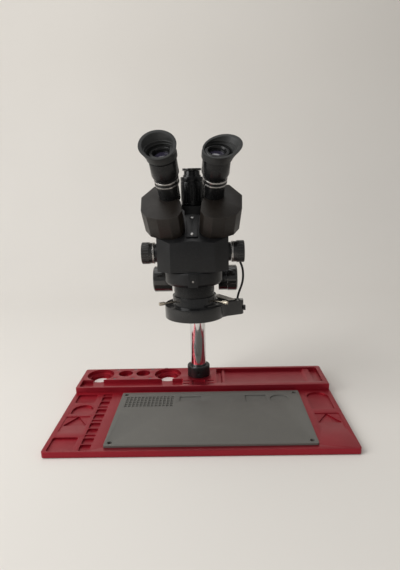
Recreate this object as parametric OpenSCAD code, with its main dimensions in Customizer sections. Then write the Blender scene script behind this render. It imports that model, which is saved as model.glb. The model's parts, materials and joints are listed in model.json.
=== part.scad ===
// Trinocular stereo microscope on a pillar, with a ring lamp and a bench base.
// The origin is the middle of the base's footprint, on the bench. +Z is up and -Y is the front.

/* [Base] */
// Width of the base
base_w = 440; // [380:5:520]
// Depth of the base, front to back
base_d = 266; // [220:1:320]
// Depth of the raised shelf along the back
shelf_d = 81; // [64:1:100]
// Height of the lower deck above the bench
deck_z = 9.5; // [8:0.5:14]
// Height of the shelf above the bench
shelf_z = 19; // [16:0.5:26]
// Radius of the base's corners
corner_r = 4; // [3:1:16]
// How far the feet lift the base off the bench
foot_lift = 1.2; // [0.6:0.2:3]
// Diameter of a foot
foot_d = 16; // [10:1:24]

/* [Pad] */
// Width of the work pad
pad_w = 300; // [240:5:360]
// Depth of the work pad
pad_d = 166; // [120:1:200]
// Thickness of the work pad
pad_t = 5; // [3:0.5:8]
// Depth of the seat that the pad lies in
pad_seat = 2.2; // [1:0.2:3]
// Diameter of the pad's corner holes
pad_hole_d = 7; // [4:0.5:10]
// Depth of the pad's shallow recesses
pad_dip = 1.5; // [0.6:0.1:3]

/* [Pillar] */
// Diameter of the pillar
pillar_d = 28; // [20:1:36]
// Length of the pillar above the shelf
pillar_l = 281; // [240:1:360]
// Wall of the pillar's tube
pillar_wall = 3; // [2:0.5:5]
// Distance from the base's back edge to the pillar's axis
pillar_back = 29; // [22:1:40]
// Diameter of the pillar's collar
collar_d = 40.5; // [34:0.5:60]
// Height of the pillar's collar
collar_h = 19.5; // [10:0.5:40]

/* [Focus mount] */
// Distance from the pillar's axis to the optical axis
reach = 110; // [100:1:140]
// Height of the focus block's underside above the bench
block_z = 178; // [150:1:200]
// Height of the focus block
block_h = 54; // [48:1:60]
// Width of the focus block
block_w = 48; // [42:1:70]
// Diameter of a focus knob
focus_knob_d = 43; // [30:1:50]
// Span over both focus knobs
focus_span = 138.8; // [120:0.2:160]
// Length of the left focus knob
focus_knob_l = 31; // [20:1:40]
// Number of teeth on the focus pinion
pinion_teeth = 12; // [10:1:20]
// Tooth module of the pinion and the rack
tooth_module = 0.8; // [0.5:0.1:1.2]
// Outside diameter of the head's holder ring
ring_d = 86; // [80:1:110]
// Height of the holder ring
ring_h = 22; // [14:1:30]
// Height of the holder ring's underside above the bench
ring_z = 217; // [200:1:240]

/* [Head] */
// Diameter of the head's neck, which turns in the holder ring
neck_d = 76; // [60:1:80]
// Width of the head's body
body_w = 104.4; // [90:0.2:130]
// Width of the head's front face
face_w = 64; // [40:1:90]
// Height of the head's front face
face_h = 45.8; // [30:0.2:60]
// Backward slope of the head's top
slope = 32; // [20:1:50]
// Angle that each eyepiece leans outward
splay = 5; // [4:0.5:7]
// Thickness of a prism housing
prism_h = 36; // [24:0.5:45]
// Diameter of a zoom knob
zoom_knob_d = 32.4; // [24:0.2:40]
// Span over both zoom knobs
zoom_span = 152; // [140:1:180]
// Diameter of the objective barrel
barrel_d = 61; // [50:1:70]
// Diameter of the camera port's tube
port_d = 35.4; // [28:0.2:44]

/* [Eyepieces] */
// Diameter of an eyepiece tube
tube_d = 31; // [28:0.5:36]
// Length of an eyepiece tube above its housing
tube_l = 20.5; // [16:0.5:36]
// Diameter of a dioptre ring
dioptre_d = 35.6; // [34:0.2:42]
// Diameter of an eyepiece
eyepiece_d = 39.4; // [34:0.2:46]
// Length of an eyepiece above the dioptre ring
eyepiece_l = 40; // [30:1:50]
// Diameter of an eyecup at its foot
cup_d = 43.4; // [42.6:0.2:50]
// Height of an eyecup's low side
cup_h = 8.5; // [7:0.5:16]
// Extra height of an eyecup's horn
horn_h = 16; // [8:1:22]

/* [Lamp] */
// Outside diameter of the ring lamp
lamp_d = 91; // [80:1:110]
// Height of the lamp's underside above the bench
lamp_z = 165; // [140:1:180]
// Height of the lamp's ring
lamp_h = 19; // [12:1:26]
// Height of the lamp's neck
lamp_neck_h = 14; // [8:1:20]
// Outside diameter of the lamp's neck
lamp_neck_d = 66.4; // [60:0.2:76]
// Number of lamps on the ring
led_count = 36; // [12:4:60]

/* [Lead] */
// Diameter of the lamp's lead
lead_d = 3.5; // [3:0.5:6]

/* [Hidden] */

$fn = 64;
gap = 0.3;          // between pieces that move past each other
fit = 0.05;         // radial clearance of a running fit
cut = 1;            // how far a cutter runs past a face

scope_x = -6;       // the pillar and the head stand a little left of the middle
pillar_y = base_d / 2 - pillar_back;
axis_y = pillar_y - reach;
step_y = base_d / 2 - shelf_d;

pillar_top = shelf_z + pillar_l;
block_front = 52;   // from the pillar's axis to the block's front face
block_rear = 22;    // from the pillar's axis to the block's back face
pinion_y = pillar_y - block_front + 16;
pinion_z = block_z + 29;
pitch_r = pinion_teeth * tooth_module / 2;
tooth_pitch = PI * tooth_module;
shaft_r = 3;
focus_half = focus_span / 2;
tension_l = 28;
short_knob_l = focus_half - block_w / 2 - tension_l - 2 * gap;
tongue_w = 30;
tongue_t = 8;
rack_t = 4;
rack_w = 12;
rack_play = 0.12;   // between the teeth of the rack and the pinion

neck_r = neck_d / 2;
holder_screw_r = 1.5;
barrel_r = barrel_d / 2;
body_z = ring_z + ring_h + gap;
body_front = 40;    // from the optical axis to the head's front face
body_rear = 38;
body_side = 25.5;   // how far forward the sides of the body reach
body_wall = 4;
zoom_y = axis_y - 6;
zoom_z = body_z + 24.7;
zoom_r = zoom_knob_d / 2;
tower_z = body_z + 91;
port_y = axis_y + 38;
tower_d = 38;
tower_w = 24;

tube_u = 29;        // the eyepiece tube's place on its prism housing
tube_v = 65;
pivot_u = 30;       // the prism housing turns about this point
pivot_v = 27;
pivot_r = 12;
pivot_deep = 5;
tube_r = tube_d / 2;
tube_seat = 6;
ring_l = 9.5;       // length of a dioptre ring
ring_at = prism_h + gap + tube_l;
eye_at = ring_at + ring_l + 2 * gap;
cup_at = eye_at + eyepiece_l - 8;

lamp_r = lamp_d / 2;
lamp_neck_r = lamp_neck_d / 2;
lamp_bore = barrel_r + 2 * fit;
lamp_top = lamp_z + lamp_h;
lamp_wall = 2.2;
lug_top = lamp_top + 3;
relief_x = scope_x + 67;
relief_z = lamp_z + 14;
relief_l = 10;
screw_z = lamp_top + lamp_neck_h / 2;
screw_angles = [-30, 90, 210];
screw_heads = [49, 35.5, 51];   // the rear screw is short, to pass the focus block
screw_head_l = 8;
dimmer_y = axis_y + 5;
dimmer_z = lamp_z + 9;

lead_r = lead_d / 2;
hank_l = 82;
hank_w = 5 * lead_d;            // two runs side by side, folded five leads wide
hank_h = 3 * lead_d;            // three layers
hank_x = -70;
hank_y = 142.9;
tie_t = 0.6;
tie_w = 6;
plug_l = 20;
// The lead's way from the lamp, over the clip and down behind the pillar to the hank.
lead_route = [
    [61, 16.3, 179], [61, 19.5, 179.3], [61.3, 22.5, 181], [62, 24.5, 184.5], [63.3, 25.5, 189.5],
    [65.5, 26, 195.5], [68, 26.5, 202], [70, 27.5, 209], [71, 29, 216.5], [71, 31.5, 224],
    [69.8, 35, 231.5], [67, 40, 239], [63, 46.5, 247], [57, 54, 255.5], [48.5, 63.5, 264],
    [39, 75, 271.5], [30, 87.5, 277.5], [23, 97.5, 280.7], [18, 105.5, 281.7],
    [12.4, 114.6, 281.9], [8.4, 121.5, 280.9], [4, 128.5, 277.5], [0.2, 134.2, 271.5],
    [-2.8, 138.4, 263], [-4.8, 141, 252], [-6, 142, 239], [-6.2, 142, 215], [-6, 142, 190],
    [-5.8, 142, 165], [-5.8, 142, 140], [-6, 142, 115], [-6, 142, 90], [-6, 142, 65],
    [-6, 142, 42], [-6, 142.4, 28], [-6.6, 143.4, 17], [-8.4, 145, 11.6], [-11.4, 146.6, 7.6],
    [-15, 148, 4.8], [-19.4, 149.1, 3], [-24, 149.8, 2.4], [-29, 149.9, 2.4],
    [-34, 149.9, 2.4]];
// From the hank's top layer down to the plug.
lead_tail = [
    [-106, 149.9, 9.4], [-110, 149.9, 9.3], [-115, 149.8, 8.4], [-121, 149.4, 6.3],
    [-127, 148.6, 4.6], [-132, 148, 4], [-137, 148, 4]];
plug_at = lead_tail[len(lead_tail) - 1];

// ---------- shapes shared by several pieces ----------

module rounded(w, d, r) {
    offset(r) square([w - 2 * r, d - 2 * r], center = true);
}

module slab(x0, x1, y0, y1, r, z0, z1) {
    translate([(x0 + x1) / 2, (y0 + y1) / 2, z0])
        linear_extrude(z1 - z0)
            rounded(x1 - x0, y1 - y0, r);
}

module along_x(x, y, z) {
    translate([x, y, z]) rotate([0, 90, 0]) children();
}

module tube(r_out, r_in, h) {
    difference() {
        cylinder(r = r_out, h = h);
        translate([0, 0, -cut]) cylinder(r = r_in, h = h + 2 * cut);
    }
}

// The frame of one prism housing: u to the right, v up the slope, w along the eyepiece.
module side_frame(side) {
    translate([scope_x, axis_y - body_front, body_z + face_h])
        rotate([slope, 0, 0])
            rotate([0, side * splay, 0])
                scale_side(side) children();
}

module scale_side(side) {
    if (side > 0) children();
    else mirror([1, 0, 0]) children();
}

module at_tube(side) {
    side_frame(side) translate([tube_u, tube_v, 0]) children();
}

module at_axis() {
    translate([scope_x, axis_y, 0]) children();
}

module at_pillar() {
    translate([scope_x, pillar_y, 0]) children();
}

function unit(v) = v / norm(v);
function course(p, i) = unit(p[min(i + 1, len(p) - 1)] - p[max(i - 1, 0)]);
function side_of(d) = unit(cross(d, abs(d.y) > 0.9 ? [1, 0, 0] : [0, 1, 0]));

// A round tube through the points of a route, swept ring by ring.
module swept(p, r) {
    n = 8;
    rings = [for (i = [0 : len(p) - 1])
        let (d = course(p, i), a = side_of(d), b = cross(d, a))
            for (k = [0 : n - 1]) p[i] + r * (cos(k * 360 / n) * a + sin(k * 360 / n) * b)];
    skin = [for (i = [0 : len(p) - 2], k = [0 : n - 1])
        let (m = (k + 1) % n)
            [i * n + k, i * n + m, (i + 1) * n + m, (i + 1) * n + k]];
    start = [for (k = [n - 1 : -1 : 0]) k];
    end = [for (k = [0 : n - 1]) (len(p) - 1) * n + k];
    polyhedron(rings, concat([start], [end], skin));
}

// ---------- base ----------

well_y = base_d / 2 - 26.5;
well_r = 24.4;
well_step_r = 19;
well_disc_r = 13;
well_ledge_z = shelf_z - 6;
well_floor_z = 6.5;
well_disc_t = 1.5;
well_xs = [-187.5, -63];
small_well_r = 13;
small_well_xs = [-142, -109.3];
small_well_y = base_d / 2 - 22;
small_well_floor = shelf_z - 8;
trough_x0 = -215;
trough_x1 = -34;
trough_y0 = step_y + 4;
trough_y1 = step_y + 32;
trough_floor = shelf_z - 6;
tray_x0 = 26;
tray_x1 = 212;
tray_y0 = step_y + 12;
tray_y1 = base_d / 2 - 7;
tray_floor = shelf_z - 6;
rib_top = shelf_z - 2.5;
deck_floor = deck_z - 3;
pad_x = 14.5;
pad_y = step_y - 8.5 - pad_d / 2;
pad_z = deck_z - pad_seat;
pad_top = pad_z + pad_t;
hole_in = 8;
magnet_r = 2.5;
magnet_t = 4;
magnet_y1 = base_d / 2 - 4;
magnet_y0 = trough_y1 + 5;
magnet_xs = [-159, -126, -94];
foot_in = 24;
foot_t = foot_lift + 1.8;
foot_xs = [-1, -1 / 3, 1 / 3, 1] * (base_w / 2 - foot_in);
foot_ys = [-base_d / 2 + foot_in, base_d / 2 - foot_in];
bolt_r = 5;
bolt_head_r = 9;

module pocket(x0, x1, y0, y1, r = 3, floor_z = deck_floor, top_z = deck_z) {
    slab(x0, x1, y0, y1, r, floor_z, top_z + cut);
}

module shape_pocket(floor_z = deck_floor) {
    translate([0, 0, floor_z])
        linear_extrude(deck_z - floor_z + cut)
            children();
}

// A pocket with a flat foot and a round crown.
module crown_pocket(x, y0, w, h) {
    shape_pocket() {
        translate([x - w / 2, y0]) square([w, h - w / 2]);
        translate([x, y0 + h - w / 2]) circle(r = w / 2);
    }
}

module peak_pocket(x, y0, w, h) {
    shape_pocket()
        offset(2) offset(-2)
            polygon([[x - w / 2, y0], [x + w / 2, y0], [x, y0 + h]]);
}

module left_pockets() {
    pocket(-212, -179, 14, 44);
    crown_pocket(-192, -24, 34, 30);
    shape_pocket(deck_z - 1) translate([-193, -56]) rounded(39, 47, 3);
    peak_pocket(-193, -59.5, 38, 29);
    pocket(-214, -177, -130, -94);
}

cell_x = -161;
cell_w = 16;
cell_group = 44;
cell_y0 = -130;

// Four groups, each of two deep cells and a shallow bar.
module cell_column() {
    for (g = [0 : 3])
        let (y = cell_y0 + g * cell_group) {
            pocket(cell_x - cell_w / 2, cell_x + cell_w / 2, y, y + 16, 2);
            pocket(cell_x - cell_w / 2, cell_x + cell_w / 2, y + 17.5, y + 33, 2);
            pocket(cell_x - cell_w / 2, cell_x + cell_w / 2, y + 34.5, y + 42.5, 2, deck_z - 1.5);
        }
}

module right_pockets() {
    crown_pocket(194, -19, 36, 60);
    shape_pocket(deck_z - 1) translate([195, -56]) rounded(38, 47, 3);
    peak_pocket(194.6, -61, 38, 29);
}

module shelf_cutters() {
    for (x = well_xs) {
        translate([x, well_y, well_ledge_z]) cylinder(r = well_r, h = shelf_z);
        translate([x, well_y, well_floor_z]) cylinder(r = well_step_r, h = shelf_z);
        translate([x, well_y, well_floor_z - well_disc_t]) cylinder(r = well_disc_r, h = shelf_z);
    }
    for (x = small_well_xs)
        translate([x, small_well_y, small_well_floor]) cylinder(r = small_well_r, h = shelf_z);
    slab(trough_x0, trough_x1, trough_y0, trough_y1, 3, trough_floor, shelf_z + cut);
    difference() {
        slab(tray_x0, tray_x1, tray_y0, tray_y1, 3, tray_floor, shelf_z + cut);
        tray_rib(tray_x0 + 8, 4, 3);
        tray_rib(tray_x1 - 29, 9, 5);
    }
    for (side = [-1, 1], row = [0, 1])
        slab(scope_x + side * 21.5 - 6, scope_x + side * 21.5 + 6,
            step_y + 9.5 + 10 * row, step_y + 13 + 10 * row, 1.2, shelf_z - 2, shelf_z + cut);
    slab(scope_x - 11, scope_x + 11, step_y + 7, step_y + 26, 2, shelf_z - 2.5, shelf_z + cut);
}

// A rib across the tray whose left flank slopes.
module tray_rib(x, w, lean) {
    translate([x, tray_y1 + cut, tray_floor - cut])
        rotate([90, 0, 0])
            linear_extrude(tray_y1 - tray_y0 + 2 * cut)
                polygon([[0, 0], [lean + w, 0], [lean + w, rib_top - tray_floor + cut],
                    [lean, rib_top - tray_floor + cut], [0, cut]]);
}

module magnet_places() {
    for (x = magnet_xs) {
        translate([x, magnet_y0, shelf_z]) children();
        translate([x, magnet_y1, shelf_z]) children();
    }
}

module foot_places() {
    for (x = foot_xs, y = foot_ys) translate([x, y, 0]) children();
}

module base_plate() {
    color("#a52d3c")
    difference() {
        union() {
            slab(-base_w / 2, base_w / 2, -base_d / 2, base_d / 2, corner_r, foot_lift, deck_z);
            slab(-base_w / 2, base_w / 2, step_y, base_d / 2, corner_r, foot_lift, shelf_z);
            slab(-base_w / 2, base_w / 2, step_y, step_y + 2 * corner_r, 0.5, foot_lift, shelf_z);
        }
        shelf_cutters();
        left_pockets();
        right_pockets();
        cell_column();
        pocket(pad_x - pad_w / 2 - gap, pad_x + pad_w / 2 + gap,
            pad_y - pad_d / 2 - gap, pad_y + pad_d / 2 + gap, 3, pad_z);
        magnet_places() translate([0, 0, -magnet_t]) cylinder(r = magnet_r, h = 2 * magnet_t);
        foot_places() cylinder(r = foot_d / 2, h = foot_t);
        at_pillar() {
            cylinder(r = bolt_r + 0.3, h = 2 * shelf_z);
            translate([0, 0, -cut]) cylinder(r = bolt_head_r + 1, h = 9 + cut);
            translate([0, 0, shelf_z - 3]) cylinder(r = pillar_d / 2, h = 2 * cut + 3);
        }
    }
}

pit_cols = 13;
pit_rows = 6;

module work_pad() {
    color("#696965")
    difference() {
        slab(pad_x - pad_w / 2, pad_x + pad_w / 2, pad_y - pad_d / 2, pad_y + pad_d / 2, 3,
            pad_z, pad_top);
        for (sx = [-1, 1], sy = [-1, 1])
            translate([pad_x + sx * (pad_w / 2 - hole_in), pad_y + sy * (pad_d / 2 - hole_in), 0])
                cylinder(d = pad_hole_d, h = 2 * pad_top);
        translate([pad_x - pad_w / 2 + 10, pad_y + pad_d / 2 - 51.5, pad_top - pad_dip])
            for (i = [0 : pit_cols - 1], j = [0 : pit_rows - 1])
                translate([i * 6.2, j * 6.2, 0]) cube([4.4, 4.4, pad_dip + cut]);
        slab(pad_x - 51, pad_x - 15, pad_y + pad_d / 2 - 35.5, pad_y + pad_d / 2 - 17.5, 1.5,
            pad_top - pad_dip, pad_top + cut);
        slab(pad_x + 58, pad_x + 93, pad_y + pad_d / 2 - 40.5, pad_y + pad_d / 2 - 15.5, 1.5,
            pad_top - pad_dip, pad_top + cut);
        translate([pad_x + 114, pad_y + pad_d / 2 - 31.5, pad_top - pad_dip])
            cylinder(r = 15.5, h = pad_dip + cut);
    }
}

module base_feet() {
    color("#202020")
    foot_places() cylinder(r = foot_d / 2, h = foot_t);
}

module shelf_magnets() {
    color("#3a3a3c")
    magnet_places() translate([0, 0, -magnet_t]) cylinder(r = magnet_r, h = magnet_t - 0.2);
}

module well_discs() {
    color("#f2ece6")
    for (x = well_xs)
        translate([x, well_y, well_floor_z - well_disc_t]) cylinder(r = well_disc_r, h = well_disc_t);
}

// ---------- pillar ----------

module pillar() {
    color("#d8d8dc")
    at_pillar() translate([0, 0, shelf_z - 3])
        difference() {
            cylinder(d = pillar_d, h = pillar_l + 3);
            translate([0, 0, 22]) cylinder(r = pillar_d / 2 - pillar_wall, h = pillar_l);
            translate([0, 0, -cut]) cylinder(r = bolt_r, h = 24 + cut);
        }
}

module pillar_collar() {
    color("#17171a")
    at_pillar() translate([0, 0, shelf_z])
        difference() {
            rotate_extrude()
                polygon([[pillar_d / 2 + fit, 0], [collar_d / 2, 0], [collar_d / 2, collar_h - 1],
                    [collar_d / 2 - 1, collar_h], [pillar_d / 2 + fit, collar_h]]);
            for (a = [30, 150, 270])
                rotate(a) translate([0, 0, collar_h / 2]) rotate([0, 90, 0])
                    cylinder(r = 2 + fit, h = collar_d);
        }
}

module collar_screws() {
    color("#4a4a4e")
    at_pillar() translate([0, 0, shelf_z + collar_h / 2])
        for (a = [30, 150, 270])
            rotate(a) rotate([0, 90, 0])
                translate([0, 0, pillar_d / 2 + fit])
                    cylinder(r = 2, h = (collar_d - pillar_d) / 2 - 1);
}

module pillar_bolt() {
    color("#8c8c90")
    at_pillar() {
        translate([0, 0, 3]) cylinder(r = bolt_head_r, h = 6);
        translate([0, 0, 9]) cylinder(r = bolt_r, h = shelf_z + 8);
    }
}

module pillar_cap() {
    color("#1c1c1e")
    at_pillar() translate([0, 0, pillar_top]) {
        translate([0, 0, -8]) cylinder(r = pillar_d / 2 - pillar_wall, h = 8);
        cylinder(r1 = pillar_d / 2, r2 = pillar_d / 2 - 1.2, h = 2.4);
    }
}

clip_z = 275;
clip_h = 9;
clip_t = 2.4;

// A spring ring round the pillar with an open hook that the lead lies in.
module lead_clip() {
    color("#1c1c1e")
    at_pillar() translate([0, 0, clip_z]) {
        tube(pillar_d / 2 + clip_t, pillar_d / 2, clip_h - 4);
        rotate(30)
            difference() {
                translate([pillar_d / 2 + 1, -4, 0]) cube([12, 8, clip_h]);
                translate([pillar_d / 2 + 7.2, -5, 4.9 + lead_r]) rotate([-90, 0, 0])
                    cylinder(r = lead_r + gap + 0.4, h = 10);
                translate([pillar_d / 2 + 7.2 - lead_r - gap - 0.4, -5, 4.9 + lead_r])
                    cube([2 * (lead_r + gap + 0.4), 10, clip_h]);
            }
    }
}

// ---------- lamp lead ----------

module lamp_lead() {
    color("#141416") {
        swept(lead_route, lead_r);
        swept(lead_tail, lead_r);
    }
}

module lead_hank() {
    color("#141416")
    translate([hank_x, hank_y, tie_t])
        linear_extrude(hank_h)
            rounded(hank_l, hank_w, hank_w / 2 - 0.1);
}

module hank_tie() {
    color("#2a2a2c")
    translate([hank_x - tie_w / 2, hank_y, 0])
        rotate([90, 0, 90])
            linear_extrude(tie_w)
                difference() {
                    translate([-hank_w / 2 - tie_t, 0]) square([hank_w + 2 * tie_t, hank_h + 2 * tie_t]);
                    translate([-hank_w / 2, tie_t]) square([hank_w, hank_h]);
                }
}

module usb_plug() {
    color("#1a1a1c")
    translate(plug_at) {
        translate([-plug_l, 0, 0]) rotate([0, 90, 0])
            linear_extrude(plug_l) rounded(8, 15, 2);
        color("#c8c8cc")
            translate([-plug_l - 12, -6, -2.25]) cube([12, 12, 4.5]);
    }
}

// ---------- focus mount ----------

module dovetail(grow, depth) {
    polygon([[-tongue_w / 2 + 4 - grow, -grow], [tongue_w / 2 - 4 + grow, -grow],
        [tongue_w / 2 + grow, depth + grow], [-tongue_w / 2 - grow, depth + grow]]);
}

module focus_block() {
    color("#1b1b1e")
    difference() {
        at_pillar() translate([0, 0, block_z])
            linear_extrude(block_h)
                difference() {
                    translate([0, (block_rear - block_front) / 2])
                        rounded(block_w, block_front + block_rear, 4);
                    circle(r = pillar_d / 2 + fit);
                    translate([-1.2, pillar_d / 2 - 2]) square([2.4, block_rear]);
                }
        translate([scope_x, pillar_y - block_front, block_z - cut])
            linear_extrude(block_h + 2 * cut) {
                translate([0, -cut]) square([tongue_w - 8 + 2 * gap, 3 * cut], center = true);
                dovetail(gap, tongue_t);
                translate([-rack_w / 2 - 1, tongue_t])
                    square([rack_w + 2, rack_t + 2]);
            }
        along_x(scope_x - rack_w / 2 - 1, pinion_y, pinion_z)
            cylinder(r = pitch_r + 2.2, h = rack_w + 2);
        along_x(scope_x - block_w, pinion_y, pinion_z) cylinder(r = shaft_r + fit, h = 2 * block_w);
        along_x(scope_x - block_w, pillar_y + 4, block_z + 27)
            cylinder(r = 3 + fit, h = block_w - pillar_d / 2 + 2);
    }
}

module clamp_knob() {
    color("#1b1b1e")
    translate([scope_x, pillar_y + 4, block_z + 27]) rotate([0, -90, 0]) {
        translate([0, 0, pillar_d / 2 + gap]) cylinder(r = 3, h = 16);
        translate([0, 0, block_w / 2 + gap])
            difference() {
                cylinder(r = 10, h = 12);
                for (a = [0 : 60 : 300])
                    rotate(a) translate([12, 0, 3]) cylinder(r = 3.4, h = 12);
            }
    }
}

// A collar on the shaft, turned to set how stiffly the focus moves.
module tension_ring() {
    color("#2c2c30")
    along_x(scope_x + block_w / 2 + gap, pinion_y, pinion_z)
        difference() {
            union() {
                cylinder(r = 11, h = tension_l);
                translate([0, 0, 14]) cylinder(r = focus_knob_d / 2 - 1, h = tension_l - 14);
            }
            translate([0, 0, -cut]) cylinder(r = shaft_r + fit, h = tension_l + 2 * cut);
            for (a = [0 : 45 : 315])
                rotate(a) translate([focus_knob_d / 2 - 4, 0, tension_l / 2 + 7]) rotate([0, 90, 0])
                    cylinder(r = 2, h = 8);
        }
}

// Straight-sided teeth, a little thinner than their spaces.
module pinion_shape() {
    root = pitch_r - 1.1 * tooth_module;
    tip = pitch_r + 0.9 * tooth_module;
    half_root = tooth_pitch * 0.27;
    half_tip = tooth_pitch * 0.1;
    circle(r = root);
    for (i = [0 : pinion_teeth - 1])
        rotate(i * 360 / pinion_teeth)
            polygon([[root - 0.4, -half_root], [tip, -half_tip], [tip, half_tip],
                [root - 0.4, half_root]]);
}

module pinion_shaft() {
    color("#b8b8bc") {
        along_x(scope_x - focus_half + 3, pinion_y, pinion_z)
            cylinder(r = shaft_r, h = focus_span - 6);
        along_x(scope_x - rack_w / 2, pinion_y, pinion_z)
            rotate(90 + 180 / pinion_teeth) linear_extrude(rack_w) pinion_shape();
    }
}

module focus_knob(l) {
    difference() {
        rotate_extrude()
            polygon([[0, 0], [focus_knob_d / 2 - 1, 0], [focus_knob_d / 2, 1],
                [focus_knob_d / 2, l - 2], [focus_knob_d / 2 - 2, l],
                [focus_knob_d / 2 - 5, l], [focus_knob_d / 2 - 6, l - 1], [0, l - 1]]);
        translate([0, 0, -cut]) cylinder(r = shaft_r, h = l - 3 + cut);
    }
}

module focus_knob_left() {
    color("#1d1d20")
    translate([scope_x - focus_half + focus_knob_l, pinion_y, pinion_z]) rotate([0, -90, 0])
        focus_knob(focus_knob_l);
}

module focus_knob_right() {
    color("#1d1d20")
    translate([scope_x + focus_half - short_knob_l, pinion_y, pinion_z]) rotate([0, 90, 0])
        focus_knob(short_knob_l);
}

carriage_z0 = block_z + 12;
carriage_z1 = ring_z + ring_h;
rack_face = pinion_y - pitch_r;
arm_y0 = axis_y + ring_d / 2 - 4;
arm_y1 = pillar_y - block_front;

module ring_carriage() {
    color("#1a1a1d")
    difference() {
        union() {
            at_axis() translate([0, 0, ring_z]) rotate_extrude()
                polygon([[neck_r + fit, 0], [ring_d / 2 - 3, 0], [ring_d / 2, 4],
                    [ring_d / 2, ring_h - 2], [ring_d / 2 - 2, ring_h], [neck_r + fit, ring_h]]);
            translate([scope_x - 7, axis_y - ring_d / 2 - 1, ring_z + 1]) cube([14, 4, ring_h - 2]);
            difference() {
                translate([scope_x - 17, arm_y0 - 4, ring_z])
                    cube([34, arm_y1 - arm_y0 + 4 - gap, ring_h]);
                at_axis() cylinder(r = neck_r + fit, h = 2 * ring_z);
            }
            translate([scope_x - 11, arm_y1 - 4, carriage_z0]) cube([22, 5, carriage_z1 - carriage_z0]);
            translate([scope_x, pillar_y - block_front, carriage_z0])
                linear_extrude(carriage_z1 - carriage_z0) dovetail(0, tongue_t);
        }
        at_axis() translate([0, -neck_r + 1, ring_z + ring_h / 2 - 1]) rotate([90, 0, 0])
            cylinder(r = holder_screw_r + fit, h = 12);
    }
}

// The rack's teeth stand half a tooth from the pinion's, and the two mesh.
module rack() {
    color("#a8a8ac")
    let (y0 = pillar_y - block_front + tongue_t, y1 = rack_face - 1.15 * tooth_module,
        tip_y = rack_face + 0.85 * tooth_module,
        count = floor((carriage_z1 - carriage_z0 - 4) / tooth_pitch / 2))
        translate([scope_x - rack_w / 2 + 0.5, 0, 0]) {
            translate([0, y0, carriage_z0]) cube([rack_w - 1, y1 - y0, carriage_z1 - carriage_z0]);
            for (i = [-count : count])
                let (z = pinion_z + i * tooth_pitch)
                    if (z > carriage_z0 + 1 && z < carriage_z1 - 1)
                        translate([0, y1, z]) rotate([90, 0, 90])
                            linear_extrude(rack_w - 1)
                                polygon([[-0.2, -tooth_pitch * 0.3 + rack_play],
                                    [tip_y - y1, -tooth_pitch * 0.12 + rack_play],
                                    [tip_y - y1, tooth_pitch * 0.12 - rack_play],
                                    [-0.2, tooth_pitch * 0.3 - rack_play]]);
        }
}

module holder_screw() {
    color("#d0d0d4")
    at_axis() translate([0, -neck_r - 1, ring_z + ring_h / 2 - 1]) rotate([90, 0, 0])
        difference() {
            cylinder(r = holder_screw_r, h = 6);
            translate([0, 0, 4]) cylinder(r = 0.8, h = 3);
        }
}

// ---------- head ----------

module body_plan(inset = 0) {
    w = body_w / 2 - inset;
    f = face_w / 2 - inset / 2;
    front = body_front - inset;
    rear = body_rear - inset;
    polygon([[-f, -front], [f, -front], [w, -body_side + inset / 2], [w, 22 - inset / 2],
        [f, rear], [-f, rear], [-w, 22 - inset / 2], [-w, -body_side + inset / 2]]);
}

// Everything above the two sloping tops.
module above_tops(lift = 0) {
    for (side = [-1, 1])
        side_frame(side) translate([-40, -80, lift]) cube([190, 240, 150]);
}

module head_body() {
    color("#161618")
    difference() {
        union() {
            difference() {
                at_axis() translate([0, 0, body_z]) linear_extrude(110) body_plan();
                above_tops();
            }
            translate([scope_x, port_y, body_z + 40]) cylinder(d = tower_d, h = tower_z - body_z - 40);
            at_axis() translate([-tower_w / 2, 14, body_z + 40])
                cube([tower_w, 24, tower_z - body_z - 40]);
            at_axis() translate([0, 0, ring_z + 2]) cylinder(r = neck_r, h = body_z - ring_z - 1);
            for (side = [-1, 1])
                along_x(scope_x + side * (body_w / 2 + 2), zoom_y, zoom_z)
                    cylinder(r = 14, h = 4, center = true);
        }
        difference() {
            at_axis() translate([0, 0, body_z + body_wall]) linear_extrude(110) body_plan(body_wall);
            above_tops(-body_wall - 2);
            at_axis() translate([-60, 8, 0]) cube([120, 60, 500]);
        }
        at_axis() translate([0, 0, ring_z]) cylinder(r = 22, h = 60);
        for (side = [-1, 1])
            side_frame(side) translate([pivot_u, pivot_v, -12]) cylinder(r = pivot_r + fit, h = 20);
        translate([scope_x, port_y, tower_z - 30]) cylinder(r = port_d / 2 - 4 + fit, h = 40);
        translate([scope_x, port_y, tower_z]) cylinder(d = tower_d, h = 60);
        along_x(scope_x - body_w, zoom_y, zoom_z) cylinder(r = 4 + fit, h = 2 * body_w);
        ridge_frame() translate([-plate_w / 2 - gap, plate_v0 - gap, -ridge_cut])
            cube([plate_w + 2 * gap, plate_v1 - plate_v0 + 2 * gap, 10]);
        plate_screw_holes();
    }
}

plate_w = 17;
plate_t = 1.5;
plate_v0 = 8;
plate_v1 = 58;
plate_screw_vs = [14, 52];
ridge_cut = 1;      // how deep the plate's flat is cut into the ridge of the head

// The frame of the ridge between the two prism housings.
module ridge_frame() {
    translate([scope_x, axis_y - body_front, body_z + face_h]) rotate([slope, 0, 0]) children();
}

module plate_screw_holes() {
    ridge_frame() for (v = plate_screw_vs) translate([0, v, -8]) cylinder(r = 1.5 + fit, h = 12);
}

module head_plate() {
    color("#1a1a1c")
    ridge_frame()
        difference() {
            translate([-plate_w / 2, plate_v0, -ridge_cut])
                cube([plate_w, plate_v1 - plate_v0, plate_t + ridge_cut]);
            for (v = plate_screw_vs) translate([0, v, -2 * cut]) cylinder(r = 1.5 + fit, h = 6);
        }
}

module head_screws() {
    color("#c8c8cc")
    ridge_frame()
        for (v = plate_screw_vs) translate([0, v, 0]) {
            translate([0, 0, -7]) cylinder(r = 1.5, h = 7 + plate_t);
            translate([0, 0, plate_t]) cylinder(r1 = 2.6, r2 = 1.8, h = 1.2);
        }
}

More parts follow.
